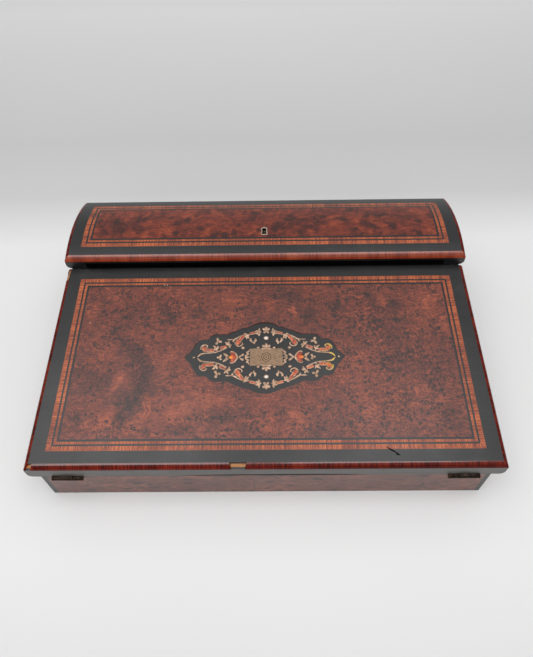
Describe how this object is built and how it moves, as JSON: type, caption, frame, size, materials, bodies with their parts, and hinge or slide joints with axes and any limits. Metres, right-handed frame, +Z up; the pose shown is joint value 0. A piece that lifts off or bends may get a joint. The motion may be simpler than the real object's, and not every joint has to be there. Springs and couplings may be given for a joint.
{
  "type": "table-top writing slope",
  "caption": "Portable writing slope: a marquetry flap hinged at the front over a paper well and a barrel lid at the back over inkwells and a pen tray.",
  "frame": {"origin": "centre of the underside, on the table", "axes": "+X to the right of the writer along the desk's width, +Y from the writer to the back, +Z up"},
  "size_m": [0.39, 0.2884, 0.1044],
  "materials": {
    "carcase": "polished mahogany case boards",
    "body_veneer": "satin figured veneer",
    "ebonised": "black stained wood, soft sheen",
    "panel_core": "dark stained wood",
    "tulipwood": "crossbanded, satin",
    "rosewood": "crossbanded, polished",
    "burl": "satin burl veneer",
    "lid_burl": "satin burl veneer",
    "inlay_ground": "black stained veneer",
    "inlay_brass": "dull brass inlay",
    "red_inlay": "red tinted horn slips",
    "pearl": "mother of pearl",
    "leather": "dark green writing leather",
    "lining": "green baize",
    "glass": "clear cut glass",
    "brass": "aged brass"
  },
  "bodies": {
    "case": {"bottom_board": "carcase", "front_board": "carcase", "left_side": "carcase", "right_side": "carcase", "back_board": "carcase", "divider": "carcase", "front_veneer": "body_veneer", "left_veneer": "body_veneer", "right_veneer": "body_veneer", "corner_strips": "ebonised", "well_lining": "lining", "compartment_floor": "carcase", "left_partition": "carcase", "right_partition": "carcase", "pen_tray": "carcase", "inkwells": "glass", "inkwell_collars": "brass", "inkwell_pins": "brass", "keeper": "brass", "flap_hinge_case_leaves": "brass", "lid_hinge_case_leaves": "brass", "hinge_pins": "brass", "case_screws": "brass"},
    "flap": {"flap_board": "panel_core", "flap_border": "ebonised", "flap_outer_band": "tulipwood", "flap_inner_band": "tulipwood", "flap_burl": "burl", "flap_front_bead": "rosewood", "flap_left_bead": "rosewood", "flap_right_bead": "rosewood", "cartouche_ground": "inlay_ground", "cartouche_plaque": "inlay_brass", "cartouche_scrolls": "inlay_brass", "cartouche_fills": "red_inlay", "cartouche_sprigs": "inlay_brass", "cartouche_pearls": "pearl", "flap_leather": "leather", "flap_hinge_flap_leaves": "brass", "flap_screws": "brass"},
    "lid": {"lid_top": "panel_core", "lid_front_rail": "ebonised", "lid_back_rail": "ebonised", "lid_left_end": "ebonised", "lid_right_end": "ebonised", "lid_border": "ebonised", "lid_outer_band": "tulipwood", "lid_inner_band": "tulipwood", "lid_burl": "lid_burl", "lid_front_bead": "rosewood", "lid_end_beads": "rosewood", "escutcheon": "brass", "lock_case": "brass", "lid_hinge_lid_leaves": "brass", "lid_screws": "brass"},
    "lock_bolt": {"lock_bolt": "brass"},
    "left_inkwell_cap": {"left_inkwell_cap": "brass"},
    "right_inkwell_cap": {"right_inkwell_cap": "brass"}
  },
  "joints": [
    {"name": "flap_hinge", "type": "hinge", "parent": "case", "child": "flap", "pos_m": [0, -0.14245, 0.03181], "axis": [1, 0, 0], "range_deg": [0, 173.5]},
    {"name": "lid_hinge", "type": "hinge", "parent": "case", "child": "lid", "pos_m": [0, 0.14245, 0.08428], "axis": [-1, 0, 0], "range_deg": [0, 100]},
    {"name": "bolt_slide", "type": "slide", "parent": "lid", "child": "lock_bolt", "axis": [0, -1, 0], "range_m": [0, 0.006]},
    {"name": "left_cap_hinge", "type": "hinge", "parent": "case", "child": "left_inkwell_cap", "pos_m": [-0.1472, 0.11545, 0.05515], "axis": [-1, 0, 0], "range_deg": [0, 95]},
    {"name": "right_cap_hinge", "type": "hinge", "parent": "case", "child": "right_inkwell_cap", "pos_m": [0.1472, 0.11545, 0.05515], "axis": [-1, 0, 0], "range_deg": [0, 95]}
  ]
}
